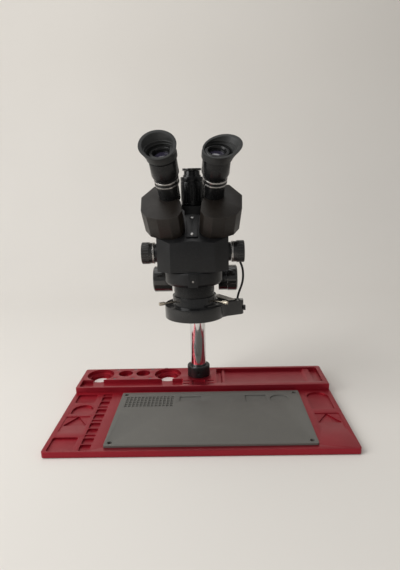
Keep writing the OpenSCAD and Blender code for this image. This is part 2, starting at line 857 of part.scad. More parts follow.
// The two zoom lens cells inside the head, one for each eye.
module lens_drums() {
    color("#3a3a3e")
    for (side = [-1, 1])
        at_axis() translate([side * 15, -10, body_z + body_wall]) tube(12, 9, 16);
}

module objective_barrel() {
    color("#121214")
    at_axis() translate([0, 0, lamp_z + 9]) {
        rotate_extrude()
            polygon([[barrel_r - 4, 0], [barrel_r - 1, 0], [barrel_r, 1],
                [barrel_r, ring_z + 2 - lamp_z - 9], [20, ring_z + 2 - lamp_z - 9],
                [20, ring_z - 2 - lamp_z - 9], [barrel_r - 4, ring_z - 6 - lamp_z - 9]]);
    }
}

module objective_lens() {
    color("#7a86a0")
    at_axis() translate([0, 0, lamp_z + 12])
        rotate_extrude()
            polygon([[0, -1.6], [14, -0.8], [barrel_r - 4, 0], [barrel_r - 4, 6], [0, 6]]);
}

module port_tube() {
    color("#18181a")
    translate([scope_x, port_y, tower_z])
        difference() {
            union() {
                translate([0, 0, -14]) cylinder(r = port_d / 2 - 4 - gap, h = 15);
                cylinder(r = port_d / 2, h = 4);
                cylinder(r = port_d / 2 - 4, h = 46);
                translate([0, 0, 36]) cylinder(r = port_d / 2, h = 7);
                cylinder(r = 12.2, h = 52);
            }
            translate([0, 0, -20]) cylinder(r = 9.5, h = 80);
        }
}

module port_ring() {
    color("#1d1d1f")
    translate([scope_x, port_y, tower_z + 4 + gap])
        difference() {
            cylinder(r = port_d / 2, h = 32 - 2 * gap);
            translate([0, 0, -cut]) cylinder(r = port_d / 2 - 4 + fit, h = 40);
            for (a = [0 : 15 : 345])
                rotate(a) translate([port_d / 2 + 0.4, 0, 3]) cylinder(r = 1, h = 24);
        }
}

module port_cap() {
    color("#141416")
    translate([scope_x, port_y, tower_z + 52 + gap]) {
        cylinder(r = 14.5, h = 3.4);
        translate([0, 0, -4]) cylinder(r = 9.5 - fit, h = 5);
    }
}

// ---------- zoom ----------

zoom_half = zoom_span / 2;
zoom_knob_l = 16.5;
trim_l = 2.4;

module zoom_shaft() {
    color("#a8a8ac")
    along_x(scope_x - zoom_half + 3, zoom_y, zoom_z) cylinder(r = 4, h = zoom_span - 6);
}

module zoom_knob() {
    difference() {
        union() {
            cylinder(r = zoom_r - 0.8, h = 5);
            translate([0, 0, 5]) cylinder(r = zoom_r, h = zoom_knob_l - 6);
            translate([0, 0, zoom_knob_l - 1]) cylinder(r1 = zoom_r, r2 = zoom_r - 1, h = 1);
        }
        for (a = [0 : 15 : 345])
            rotate(a) translate([zoom_r + 0.5, 0, 6]) cylinder(r = 1.1, h = zoom_knob_l);
        translate([0, 0, -cut]) cylinder(r = 4, h = zoom_knob_l - 3 + cut);
    }
}

module zoom_knob_left() {
    color("#1b1b1d")
    translate([scope_x - zoom_half + zoom_knob_l, zoom_y, zoom_z]) rotate([0, -90, 0]) zoom_knob();
}

module zoom_knob_right() {
    color("#1b1b1d")
    translate([scope_x + zoom_half - zoom_knob_l, zoom_y, zoom_z]) rotate([0, 90, 0]) zoom_knob();
}

module zoom_trims() {
    color("#d4d4d8")
    for (side = [-1, 1])
        translate([scope_x + side * (zoom_half - zoom_knob_l), zoom_y, zoom_z])
            rotate([0, -side * 90, 0]) tube(zoom_r - 0.4, 4, trim_l);
}

// ---------- one side of the binocular ----------

// The outline of a prism housing on its top face.
module prism_plan(inset = 0) {
    offset(3) offset(-3 - inset)
        polygon([[10, 24], [12, 46], [30, 90], [53, 92], [71, 66], [69, 33], [60, 18],
            [45, 10], [27, 7], [15, 12]]);
}

module prism_housing(side) {
    side_frame(side)
        difference() {
            union() {
                translate([0, 0, gap]) linear_extrude(prism_h) prism_plan();
                translate([pivot_u, pivot_v, -pivot_deep]) cylinder(r = pivot_r, h = pivot_deep + 1);
            }
            translate([0, 0, gap + 3]) linear_extrude(prism_h - 8) prism_plan(5);
            translate([pivot_u, pivot_v, -pivot_deep - cut]) cylinder(r = pivot_r - 3, h = 14);
            translate([tube_u, tube_v, gap + prism_h - tube_seat]) cylinder(r = tube_r + fit, h = 10);
        }
}

module prism(side) {
    side_frame(side)
        translate([pivot_u + 1, pivot_v + 14, gap + 3])
            linear_extrude(24) square([20, 26], center = true);
}

module eyepiece_tube(side) {
    at_tube(side) translate([0, 0, gap + prism_h - tube_seat])
        tube(tube_r, tube_r - 3, tube_seat + tube_l + ring_l);
}

// Two bright bands with a dark grip between them.
module dioptre_ring(side) {
    at_tube(side) translate([0, 0, ring_at + gap])
        difference() {
            rotate_extrude()
                polygon([[tube_r + fit, 0], [dioptre_d / 2 - 0.4, 0], [dioptre_d / 2, 0.4],
                    [dioptre_d / 2, 2.8], [dioptre_d / 2 - 0.8, 3.2], [dioptre_d / 2 - 0.8, 6],
                    [dioptre_d / 2, 6.4], [dioptre_d / 2, 8.8], [dioptre_d / 2 - 0.4, ring_l - 0.3],
                    [tube_r + fit, ring_l - 0.3]]);
        }
}

module eyepiece(side) {
    at_tube(side) translate([0, 0, eye_at])
        rotate_extrude()
            polygon([[tube_r - 5, -14], [tube_r - 3 - fit, -14], [tube_r - 3 - fit, gap],
                [tube_r + 1.6, gap], [eyepiece_d / 2, 7], [eyepiece_d / 2, eyepiece_l - 11],
                [eyepiece_d / 2 - 1.4, eyepiece_l - 10.5], [eyepiece_d / 2 - 1.4, eyepiece_l - 2],
                [eyepiece_d / 2 - 3, eyepiece_l], [13, eyepiece_l], [11.5, eyepiece_l - 3],
                [11.5, eyepiece_l - 9], [9, eyepiece_l - 9], [9, 0], [tube_r - 5, -4]]);
}

module eye_lens(side) {
    at_tube(side) translate([0, 0, eye_at + eyepiece_l - 9])
        rotate_extrude()
            polygon([[0, 0], [11.5, 0], [11.5, 2.4], [8, 3.4], [4, 4], [0, 4.2]]);
}

cup_in = eyepiece_d / 2 - 1.4 + fit;
cup_leans = [7, 10]; // the cup's wide part leans outward
cup_wall = 1.5;
cup_turns = [8, 50];
cup_drops = [0, 2];  // the right cup is pushed further on
cup_horns = [horn_h, horn_h - 4];
cup_r = cup_d / 2;

// The outside of the cup's wide part, or with an inset its inside.
module cup_flare(inset = 0) {
    rotate_extrude()
        polygon([[0, 0], [cup_r - 0.6 - inset, 0], [cup_r - inset, 6], [cup_r + 1.2 - inset, 10],
            [cup_r + 3.3 - inset, 15], [cup_r + 5.6 - inset, 20], [cup_r + 8.4 - inset, 28],
            [0, 28]]);
}

// A soft cup whose mouth is cut at a slant, so that its back stands up as a horn.
module eyecup(side) {
    i = side < 0 ? 0 : 1;
    at_tube(side) translate([0, 0, cup_at - cup_drops[i]])
        difference() {
            union() {
                cylinder(r = cup_r - 0.4, h = 7);
                rotate([0, cup_leans[i], 0]) cup_flare();
            }
            translate([0, 0, -8]) cylinder(r = cup_in, h = 16 + cup_drops[i]);
            rotate([0, cup_leans[i], 0]) translate([0, 0, 6.5]) cup_flare(cup_wall);
            translate([0, 0, -10]) cylinder(r = 60, h = 10);
            rotate(-cup_turns[i]) translate([0, 0, cup_h + cup_horns[i] / 2])
                rotate([atan(cup_horns[i] / 52), 0, 0]) translate([-60, -60, 0]) cube([120, 120, 60]);
        }
}

module prism_housing_left() { color("#1e1c1b") prism_housing(-1); }
module prism_housing_right() { color("#1e1c1b") prism_housing(1); }
module prism_left() { color("#9fb4c0") prism(-1); }
module prism_right() { color("#9fb4c0") prism(1); }
module eyepiece_tube_left() { color("#141415") eyepiece_tube(-1); }
module eyepiece_tube_right() { color("#141415") eyepiece_tube(1); }
module dioptre_ring_left() { color("#cfcfd3") dioptre_ring(-1); }
module dioptre_ring_right() { color("#cfcfd3") dioptre_ring(1); }
module eyepiece_left() { color("#19191a") eyepiece(-1); }
module eyepiece_right() { color("#19191a") eyepiece(1); }
module eye_lens_left() { color("#4a4458") eye_lens(-1); }
module eye_lens_right() { color("#4a4458") eye_lens(1); }
module eyecup_left() { color("#1c1c1d") eyecup(-1); }
module eyecup_right() { color("#1c1c1d") eyecup(1); }

// ---------- lamp ----------

module lug_plan(inset = 0) {
    offset(-inset)
        polygon([[20, -34], [50, -10], [72, -1], [75, 3], [75, 12], [60, 12], [38, 42], [16, 40]]);
}

module lamp_housing() {
    color("#1f1f21")
    difference() {
        at_axis() translate([0, 0, lamp_z]) {
            cylinder(r = lamp_r, h = lamp_h);
            linear_extrude(lug_top - lamp_z) difference() {
                lug_plan();
                circle(r = lamp_neck_r);
            }
            translate([0, 0, lamp_h - 1]) cylinder(r = lamp_neck_r, h = lamp_neck_h + 1);
        }
        at_axis() translate([0, 0, lamp_z - cut]) {
            cylinder(r = lamp_bore, h = 60);
            tube(lamp_r - lamp_wall, lamp_neck_r, lamp_h - 3 + cut);
            linear_extrude(lamp_h - 3 + cut) difference() {
                lug_plan(lamp_wall);
                circle(r = lamp_neck_r);
            }
        }
        for (a = screw_angles)
            at_axis() rotate(a) translate([0, 0, screw_z]) rotate([0, 90, 0])
                cylinder(r = 1.5 + fit, h = 60);
        along_x(scope_x + 70, dimmer_y, dimmer_z) cylinder(r = 1.5 + fit, h = 10);
        translate([relief_x, axis_y + 8, relief_z]) rotate([-90, 0, 0]) cylinder(r = 2.4, h = 6);
    }
}

module led_board() {
    color("#e6e2d4")
    at_axis() translate([0, 0, lamp_top - 4.6])
        tube(lamp_r - lamp_wall - 0.2, lamp_neck_r + 0.2, 1.6);
}

module leds() {
    color("#f4efd8")
    at_axis() translate([0, 0, lamp_top - 8.6])
        for (i = [0 : led_count - 1])
            rotate(i * 360 / led_count)
                translate([(lamp_r - lamp_wall + lamp_neck_r) / 2, 0, 0]) cylinder(r = 2, h = 4, $fn = 24);
}

module diffuser() {
    color("#eeeeea")
    at_axis() translate([0, 0, lamp_z + 0.6])
        linear_extrude(2)
            difference() {
                union() {
                    circle(r = lamp_r - lamp_wall);
                    lug_plan(lamp_wall);
                }
                circle(r = lamp_neck_r);
            }
}

module dimmer_knob() {
    color("#101012")
    along_x(scope_x + 75 + gap, dimmer_y, dimmer_z) {
        cylinder(r = 4.2, h = 3);
        translate([0, 0, -4]) cylinder(r = 1.5, h = 5);
    }
}

// A tapered sleeve that the lead leaves the lamp through.
module lead_relief() {
    color("#141416")
    translate([relief_x, axis_y + 9, relief_z]) rotate([-90, 0, 0])
        rotate_extrude()
            polygon([[0, 0], [2.4, 0], [2.4, 3], [3.4, 3], [3.4, 5], [2.5, 3 + relief_l],
                [0, 3 + relief_l]]);
}

// A thumb screw: a plain shank and a fluted head.
module lamp_screw(i) {
    color("#c9c3b8")
    at_axis() rotate(screw_angles[i]) translate([0, 0, screw_z]) rotate([0, 90, 0]) {
        translate([0, 0, barrel_r + 2 * gap]) cylinder(r = 1.5, h = screw_heads[i] - barrel_r);
        translate([0, 0, screw_heads[i]]) difference() {
            cylinder(r = 2.6, h = screw_head_l);
            for (a = [0 : 30 : 330])
                rotate(a) translate([2.8, 0, -cut]) cylinder(r = 0.4, h = 12, $fn = 16);
        }
    }
}

module lamp_screw_1() { lamp_screw(0); }
module lamp_screw_2() { lamp_screw(1); }
module lamp_screw_3() { lamp_screw(2); }

base_plate();
work_pad();
base_feet();
shelf_magnets();
well_discs();
pillar();
pillar_collar();
pillar_bolt();
pillar_cap();
collar_screws();
lead_clip();
lamp_lead();
lead_hank();
hank_tie();
usb_plug();
focus_block();
clamp_knob();
tension_ring();
pinion_shaft();
focus_knob_left();
focus_knob_right();
ring_carriage();
rack();
holder_screw();
head_body();
head_plate();
head_screws();
lens_drums();
objective_barrel();
objective_lens();
port_tube();
port_ring();
port_cap();
zoom_shaft();
zoom_knob_left();
zoom_knob_right();
zoom_trims();
prism_housing_left();
prism_left();
eyepiece_tube_left();
dioptre_ring_left();
eyepiece_left();
eye_lens_left();
eyecup_left();
prism_housing_right();
prism_right();
eyepiece_tube_right();
dioptre_ring_right();
eyepiece_right();
eye_lens_right();
eyecup_right();
lamp_housing();
led_board();
leds();
diffuser();
dimmer_knob();
lead_relief();
lamp_screw_1();
lamp_screw_2();
lamp_screw_3();
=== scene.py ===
import json
import math

import bmesh
import bpy
from mathutils import Matrix, Vector
from mathutils.bvhtree import BVHTree


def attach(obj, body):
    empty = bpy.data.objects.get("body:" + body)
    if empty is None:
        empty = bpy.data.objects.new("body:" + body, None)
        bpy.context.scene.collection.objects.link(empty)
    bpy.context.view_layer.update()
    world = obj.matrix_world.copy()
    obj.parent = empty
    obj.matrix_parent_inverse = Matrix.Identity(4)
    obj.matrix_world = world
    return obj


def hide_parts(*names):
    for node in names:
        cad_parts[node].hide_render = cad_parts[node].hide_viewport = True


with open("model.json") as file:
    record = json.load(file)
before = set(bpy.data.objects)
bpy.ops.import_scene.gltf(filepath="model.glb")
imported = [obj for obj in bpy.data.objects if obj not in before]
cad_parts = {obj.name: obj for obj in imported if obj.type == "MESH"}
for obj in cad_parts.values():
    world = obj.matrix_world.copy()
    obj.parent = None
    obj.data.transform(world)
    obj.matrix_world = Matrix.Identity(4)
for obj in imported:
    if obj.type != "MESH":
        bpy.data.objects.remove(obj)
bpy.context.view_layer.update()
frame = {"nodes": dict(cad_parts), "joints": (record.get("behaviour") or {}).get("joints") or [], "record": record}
NODES = frame["nodes"]
MM = 0.001
# The optical axis of the instrument, in millimetres.
SCOPE_X, AXIS_Y = -6, -6
# The eyepieces' backward slope and each one's outward splay, in degrees.
SLOPE, SPLAY = 32, 5


def mm(*p):
    """A point given in millimetres."""
    return Vector(p) * MM


def add_object(name, data):
    """A new object in the scene."""
    obj = bpy.data.objects.new(name, data)
    bpy.context.collection.objects.link(obj)
    return obj


# ---------- camera ----------

# Where the camera stands, in millimetres, and its pitch, yaw and roll, in degrees.
CAMERA_PLACE = (19.6, -719.9, 376.7)
CAMERA_TURN = (12.98, -1.34, -1.5)
FOCAL_LENGTH = 30.316


def aim(pitch, yaw, roll):
    """The camera's turn: pitch is down, yaw is to the right and roll is clockwise, in degrees."""
    p, y, r = (math.radians(a) for a in (pitch, yaw, roll))
    forward = Vector((math.sin(y) * math.cos(p), math.cos(y) * math.cos(p), -math.sin(p)))
    level = Vector((math.cos(y), -math.sin(y), 0))
    up = level.cross(forward)
    right = level * math.cos(r) + up * math.sin(r)
    top = up * math.cos(r) - level * math.sin(r)
    return Matrix((right, top, -forward)).transposed()


lens = bpy.data.cameras.new("camera")
camera = add_object("camera", lens)
camera.matrix_world = Matrix.Translation(mm(*CAMERA_PLACE)) @ aim(*CAMERA_TURN).to_4x4()
lens.lens = FOCAL_LENGTH
lens.sensor_width = 36
lens.clip_start = 0.02
lens.clip_end = 30
bpy.context.scene.camera = camera


# ---------- lamp lead ----------

LEAD_D = 3.5
# From the lamp, over the clip and down behind the pillar to the hank.
LEAD_ROUTE = [
    (61, 16.3, 179), (61, 19.5, 179.3), (61.3, 22.5, 181), (62, 24.5, 184.5), (63.3, 25.5, 189.5),
    (65.5, 26, 195.5), (68, 26.5, 202), (70, 27.5, 209), (71, 29, 216.5), (71, 31.5, 224),
    (69.8, 35, 231.5), (67, 40, 239), (63, 46.5, 247), (57, 54, 255.5), (48.5, 63.5, 264),
    (39, 75, 271.5), (30, 87.5, 277.5), (23, 97.5, 280.7), (18, 105.5, 281.7),
    (12.4, 114.6, 281.9), (8.4, 121.5, 280.9), (4, 128.5, 277.5), (0.2, 134.2, 271.5),
    (-2.8, 138.4, 263), (-4.8, 141, 252), (-6, 142, 239), (-6.2, 142, 215), (-6, 142, 190),
    (-5.8, 142, 165), (-5.8, 142, 140), (-6, 142, 115), (-6, 142, 90), (-6, 142, 65),
    (-6, 142, 42), (-6, 142.4, 28), (-6.6, 143.4, 17), (-8.4, 145, 11.6), (-11.4, 146.6, 7.6),
    (-15, 148, 4.8), (-19.4, 149.1, 3), (-24, 149.8, 2.4), (-29, 149.9, 2.4),
    (-34, 149.9, 2.4)]
# From the hank's top layer down to the plug.
LEAD_TAIL = [
    (-110, 149.9, 9.3), (-115, 149.8, 8.4), (-121, 149.4, 6.3),
    (-127, 148.6, 4.6), (-132, 148, 4), (-137, 148, 4)]
HANK_X, HANK_Y, HANK_Z = -70, 142.9, 2.4
HANK_FOLD_R = 7
HANK_HALF_RUN = 32.25
HANK_LAYERS = 3
# Steps along a run, round a flat fold and round the fold that climbs a layer.
RUN_STEPS, FOLD_STEPS, CLIMB_STEPS = 8, 12, 18
# The share of the climbing fold before the climb, and the share that the climb takes.
CLIMB_START, CLIMB_SHARE = 0.11, 0.72


def ease(t):
    """0 to 1 with a gentle start and end."""
    t = min(max(t, 0), 1)
    return t * t * (3 - 2 * t)


def hank_run(side, z):
    """One long run: side 1 lies at the back and goes left, side -1 at the front and goes right."""
    y = HANK_Y + side * HANK_FOLD_R
    return [(HANK_X + side * HANK_HALF_RUN * (1 - 2 * i / RUN_STEPS), y, z)
            for i in range(RUN_STEPS + 1)]


def hank_fold(side, z, steps, climb):
    """The half circle after a run. It rises by climb on its way."""
    points = []
    for i in range(1, steps):
        a = math.pi * i / steps
        rise = ease((i / steps - CLIMB_START) / CLIMB_SHARE) * climb
        points.append((HANK_X - side * (HANK_HALF_RUN + HANK_FOLD_R * math.sin(a)),
                       HANK_Y + side * HANK_FOLD_R * math.cos(a), z + rise))
    return points


def hank_turns():
    """The folded lead: long runs joined by half circles, each turn one layer above the last."""
    points = []
    for layer in range(HANK_LAYERS - 1):
        z = HANK_Z + layer * LEAD_D
        points += hank_run(1, z) + hank_fold(1, z, FOLD_STEPS, 0)
        points += hank_run(-1, z) + hank_fold(-1, z, CLIMB_STEPS, LEAD_D)
    return points + hank_run(1, HANK_Z + (HANK_LAYERS - 1) * LEAD_D)


def smooth_line(points, steps=4):
    """Points along a Catmull-Rom curve through the given ones."""
    line = []
    padded = [points[0] * 2 - points[1], *points, points[-1] * 2 - points[-2]]
    for a, b, c, d in zip(padded, padded[1:], padded[2:], padded[3:]):
        for i in range(steps):
            t = i / steps
            line.append(0.5 * (2 * b + (c - a) * t + (2 * a - 5 * b + 4 * c - d) * t ** 2
                               + (3 * b - a - 3 * c + d) * t ** 3))
    line.append(points[-1])
    return line


def lamp_lead():
    """The lead with its hank, as one cord, in place of the CAD lead and hank."""
    points = [mm(*p) for p in LEAD_ROUTE + hank_turns() + LEAD_TAIL]
    line = smooth_line(points)
    curve = bpy.data.curves.new("lead", "CURVE")
    curve.dimensions = "3D"
    curve.bevel_depth = 1
    curve.bevel_resolution = 5
    curve.use_fill_caps = True
    spline = curve.splines.new("POLY")
    spline.points.add(len(line) - 1)
    for point, place in zip(spline.points, line):
        point.co = (*place, 1)
        point.radius = LEAD_D / 2 * MM
    spline.use_smooth = True
    obj = add_object("lead", curve)
    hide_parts("lamp_lead", "lead_hank")
    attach(obj, "base")
    return obj


lead = lamp_lead()


# ---------- materials ----------

class Paint:
    """A material built node by node."""

    def __init__(self, name, **sockets):
        self.mat = bpy.data.materials.new(name)
        self.mat.use_nodes = True
        self.nodes = self.mat.node_tree.nodes
        self.links = self.mat.node_tree.links
        self.shader = self.nodes["Principled BSDF"]
        self.coords = self.nodes.new("ShaderNodeTexCoord").outputs["Object"]
        for key, value in sockets.items():
            self.shader.inputs[key.replace("_", " ")].default_value = value

    def stretched(self, scale):
        node = self.nodes.new("ShaderNodeMapping")
        node.inputs["Scale"].default_value = scale
        self.links.new(self.coords, node.inputs["Vector"])
        return node.outputs["Vector"]

    def noise(self, scale, detail=4.0, rough=0.55, stretch=None):
        node = self.nodes.new("ShaderNodeTexNoise")
        node.inputs["Scale"].default_value = scale
        node.inputs["Detail"].default_value = detail
        node.inputs["Roughness"].default_value = rough
        self.links.new(self.stretched(stretch) if stretch else self.coords, node.inputs["Vector"])
        return node.outputs["Fac"]

    def cells(self, scale):
        node = self.nodes.new("ShaderNodeTexVoronoi")
        node.inputs["Scale"].default_value = scale
        self.links.new(self.coords, node.inputs["Vector"])
        return node.outputs["Distance"]

    def edges(self, radius=0.0012):
        """1 at a worn edge and 0 on a flat face."""
        bevel = self.nodes.new("ShaderNodeBevel")
        bevel.samples = 6
        bevel.inputs["Radius"].default_value = radius
        geometry = self.nodes.new("ShaderNodeNewGeometry")
        dot = self.nodes.new("ShaderNodeVectorMath")
        dot.operation = "DOT_PRODUCT"
        self.links.new(bevel.outputs["Normal"], dot.inputs[0])
        self.links.new(geometry.outputs["Normal"], dot.inputs[1])
        return self.spread(dot.outputs["Value"], 0.99, 0.8, 0.0, 1.0)

    def spread(self, value, low, high, to_low, to_high):
        node = self.nodes.new("ShaderNodeMapRange")
        for i, v in enumerate((low, high, to_low, to_high)):
            node.inputs[i + 1].default_value = v
        self.links.new(value, node.inputs[0])
        return node.outputs[0]

    def times(self, a, b):
        node = self.nodes.new("ShaderNodeMath")
        node.operation = "MULTIPLY"
        self.links.new(a, node.inputs[0])
        self.links.new(b, node.inputs[1])
        return node.outputs[0]

    def mix(self, value, a, b):
        node = self.nodes.new("ShaderNodeMix")
        node.data_type = "RGBA"
        self.links.new(value, node.inputs["Factor"])
        for socket, colour in zip((node.inputs[6], node.inputs[7]), (a, b)):
            if isinstance(colour, tuple):
                socket.default_value = (*colour, 1)
            else:
                self.links.new(colour, socket)
        return node.outputs[2]

    def colour(self, value):
        self.links.new(value, self.shader.inputs["Base Color"])

    def rough(self, value):
        self.links.new(value, self.shader.inputs["Roughness"])

    def bump(self, *layers):
        """Each layer is (height, strength, distance in metres)."""
        normal = None
        for height, strength, distance in layers:
            node = self.nodes.new("ShaderNodeBump")
            node.inputs["Strength"].default_value = strength
            node.inputs["Distance"].default_value = distance
            self.links.new(height, node.inputs["Height"])
            if normal:
                self.links.new(normal, node.inputs["Normal"])
            normal = node.outputs["Normal"]
        self.links.new(normal, self.shader.inputs["Normal"])


def coated(name, dark, light, worn, rough=(0.3, 0.5), grain=1800, depth=0.00005, wear=0.5,
           **sockets):
    """A painted, anodised or moulded surface: two tones, a fine grain and lighter edges."""
    p = Paint(name, **sockets)
    cloud = p.spread(p.noise(14, 5, 0.6), 0.35, 0.68, 0, 1)
    base = p.mix(cloud, dark, light)
    speck = p.spread(p.noise(grain * 0.6, 2, 0.5), 0.55, 0.75, 0, 0.35)
    base = p.mix(speck, base, worn)
    rub = p.times(p.edges(), p.spread(p.noise(160, 4, 0.6), 0.42, 0.62, 0, wear))
    p.colour(p.mix(rub, base, worn))
    p.rough(p.spread(p.noise(38, 5, 0.6), 0.3, 0.7, *rough))
    p.bump((p.noise(grain, 3, 0.6), 0.5, depth), (p.noise(60, 2, 0.5), 0.12, depth * 4))
    return p.mat


def metal(name, colour, rough, stretch=(1, 1, 1), grain=900, depth=0.00002, dull=0.75):
    """Bare or plated metal with a turned or brushed grain along the stretch."""
    p = Paint(name, Metallic=1.0)
    streak = p.noise(grain, 4, 0.6, stretch)
    dim = tuple(c * dull for c in colour)
    p.colour(p.mix(p.spread(p.noise(30, 4, 0.6), 0.35, 0.7, 0, 1), colour, dim))
    p.rough(p.spread(streak, 0.3, 0.7, *rough))
    p.bump((streak, 0.4, depth))
    return p.mat


def rubbery(name, dark, light, rough=(0.5, 0.72), grain=1400, depth=0.00006):
    """Matt rubber with a little dust."""
    p = Paint(name, Specular_IOR_Level=0.3, Sheen_Weight=0.08)
    cloud = p.spread(p.noise(26, 5, 0.65), 0.3, 0.7, 0, 1)
    dust = p.spread(p.noise(240, 3, 0.6), 0.58, 0.8, 0, 0.4)
    p.colour(p.mix(dust, p.mix(cloud, dark, light), tuple(c * 2.2 + 0.01 for c in light)))
    p.rough(p.spread(p.noise(60, 4, 0.6), 0.3, 0.7, *rough))
    p.bump((p.noise(grain, 3, 0.65), 0.45, depth))
    return p.mat


def anodised_red():
    """Blasted aluminium, anodised red, with paler worn edges."""
    p = Paint("red_anodised", Metallic=0.8, Specular_IOR_Level=0.4, Coat_Weight=0.3,
              Coat_Roughness=0.32)
    cloud = p.spread(p.noise(9, 5, 0.6), 0.35, 0.68, 0, 1)
    base = p.mix(cloud, (0.270, 0.0055, 0.017), (0.320, 0.0085, 0.022))
    blast = p.spread(p.noise(2600, 2, 0.5), 0.5, 0.8, 0, 0.5)
    base = p.mix(blast, base, (0.42, 0.030, 0.055))
    rub = p.times(p.edges(0.0008), p.spread(p.noise(120, 4, 0.6), 0.5, 0.66, 0, 0.5))
    p.colour(p.mix(rub, base, (0.55, 0.10, 0.13)))
    p.rough(p.spread(p.noise(24, 5, 0.6), 0.3, 0.7, 0.34, 0.46))
    p.bump((p.noise(3000, 2, 0.6), 0.4, 0.00003), (p.noise(50, 2, 0.5), 0.08, 0.0001))
    return p.mat


def pad_grey():
    """The grey mat, finely pebbled and a little smudged."""
    p = Paint("grey_pad", Specular_IOR_Level=0.4)
    cloud = p.spread(p.noise(5, 5, 0.6), 0.35, 0.68, 0, 1)
    base = p.mix(cloud, (0.098, 0.096, 0.088), (0.118, 0.114, 0.103))
    smudge = p.spread(p.noise(36, 5, 0.65), 0.56, 0.8, 0, 0.35)
    base = p.mix(smudge, base, (0.155, 0.150, 0.137))
    p.colour(p.mix(p.spread(p.noise(2200, 2, 0.5), 0.52, 0.8, 0, 0.5), base, (0.07, 0.07, 0.064)))
    p.rough(p.spread(p.noise(20, 5, 0.6), 0.3, 0.7, 0.42, 0.56))
    p.bump((p.noise(2400, 2, 0.6), 0.4, 0.00004), (p.cells(900), 0.15, 0.00004))
    return p.mat


def glassy(name, tint, glint, rough=0.02):
    """Coated glass over a dark barrel: a painted violet reflection of the coating that grows towards the rim."""
    p = Paint(name, Roughness=rough, IOR=1.6, Coat_Weight=1.0, Coat_Roughness=0.02)
    # Painted reflection: the colour turns from the tint to the glint colour where the glass faces away from the
    # camera.
    facing = p.nodes.new("ShaderNodeLayerWeight")
    facing.inputs["Blend"].default_value = 0.35
    painted_rim_glint = p.spread(facing.outputs["Facing"], 0.0, 0.75, 0, 1)
    smear = p.spread(p.noise(120, 4, 0.6), 0.45, 0.75, 0, 0.25)
    p.colour(p.mix(smear, p.mix(painted_rim_glint, tint, glint), (0.03, 0.03, 0.034)))
    p.bump((p.noise(90, 2, 0.5), 0.05, 0.00005))
    return p.mat


def clear_glass(name, tint):
    """Slightly tinted glass that lets light through."""
    p = Paint(name, Roughness=0.03, IOR=1.52, Transmission_Weight=0.85)
    cloud = p.spread(p.noise(40, 3, 0.5), 0.3, 0.7, 0, 1)
    p.colour(p.mix(cloud, tint, tuple(c * 0.93 for c in tint)))
    p.bump((p.noise(60, 2, 0.5), 0.03, 0.00004))
    return p.mat


# One finish for each material slot of the record.
MATS = {
    "red_anodised": anodised_red(),
    "grey_pad": pad_grey(),
    "rubber": rubbery("rubber", (0.012, 0.012, 0.012), (0.02, 0.02, 0.02)),
    "magnet": metal("magnet", (0.19, 0.18, 0.19), (0.3, 0.5), grain=400),
    "pale_disc": coated("pale_disc", (0.72, 0.66, 0.62), (0.80, 0.75, 0.72), (0.9, 0.88, 0.85),
                        rough=(0.35, 0.5), wear=0.3),
    "chrome": metal("chrome", (0.80, 0.79, 0.79), (0.05, 0.11), stretch=(1, 1, 0.12), grain=500,
                    depth=0.000008, dull=0.9),
    "black_paint": coated("black_paint", (0.0055, 0.0055, 0.0060), (0.0085, 0.0085, 0.0092),
                          (0.035, 0.035, 0.037), rough=(0.30, 0.42), grain=1500, depth=0.00005,
                          wear=0.45, Specular_IOR_Level=0.3),
    "black_anodised": coated("black_anodised", (0.0045, 0.0045, 0.0048), (0.0075, 0.0075, 0.0078),
                             (0.045, 0.045, 0.047), rough=(0.2, 0.32), grain=2200, depth=0.00002,
                             wear=0.4, Specular_IOR_Level=0.28),
    "housing_brown": coated("housing_brown", (0.0085, 0.0062, 0.0046), (0.0125, 0.0094, 0.0074),
                            (0.065, 0.056, 0.048), rough=(0.36, 0.5), grain=1700, depth=0.00005,
                            wear=0.4, Specular_IOR_Level=0.32),
    "steel": metal("steel", (0.50, 0.49, 0.48), (0.22, 0.36), stretch=(0.2, 1, 1)),
    "silver_trim": metal("silver_trim", (0.40, 0.385, 0.37), (0.2, 0.32), grain=700),
    "black_plastic": coated("black_plastic", (0.0105, 0.0100, 0.0098), (0.0165, 0.0150, 0.0140),
                            (0.05, 0.048, 0.046), rough=(0.2, 0.34), grain=1300, depth=0.00004,
                            wear=0.3, Specular_IOR_Level=0.5),
    "gloss_black": coated("gloss_black", (0.0055, 0.0055, 0.0058), (0.0085, 0.0085, 0.0088),
                          (0.045, 0.045, 0.045), rough=(0.16, 0.26), grain=700, depth=0.00003,
                          wear=0.3, Coat_Weight=0.35, Coat_Roughness=0.08, Specular_IOR_Level=0.35),
    "lead_jacket": rubbery("lead_jacket", (0.010, 0.010, 0.011), (0.016, 0.016, 0.017),
                           rough=(0.4, 0.55)),
    "eyecup_rubber": rubbery("eyecup_rubber", (0.0125, 0.0128, 0.0125), (0.0190, 0.0195, 0.0190),
                             rough=(0.44, 0.6), grain=1000),
    # The lens's second colour is a painted violet glint that grows towards the rim.
    "lens_glass": glassy("lens_glass", (0.006, 0.0055, 0.009), (0.045, 0.038, 0.07)),
    "prism_glass": clear_glass("prism_glass", (0.85, 0.9, 0.93)),
    "circuit_board": coated("circuit_board", (0.66, 0.65, 0.58), (0.74, 0.73, 0.67),
                            (0.55, 0.4, 0.2), rough=(0.35, 0.5), wear=0.2),
    "led": coated("led", (0.75, 0.68, 0.36), (0.85, 0.8, 0.55), (0.95, 0.93, 0.85),
                  rough=(0.15, 0.25), wear=0.1),
    "diffuser": coated("diffuser", (0.74, 0.74, 0.72), (0.82, 0.82, 0.80), (0.9, 0.9, 0.88),
                       rough=(0.45, 0.6), wear=0.2),
    "brass_screw": metal("brass_screw", (0.62, 0.55, 0.45), (0.2, 0.34), grain=600),
}
KNOB = coated("knob_black", (0.0080, 0.0076, 0.0072), (0.0120, 0.0112, 0.0105),
              (0.05, 0.048, 0.045), rough=(0.13, 0.22), grain=700, depth=0.000012, wear=0.3,
              Coat_Weight=0.6, Coat_Roughness=0.14)
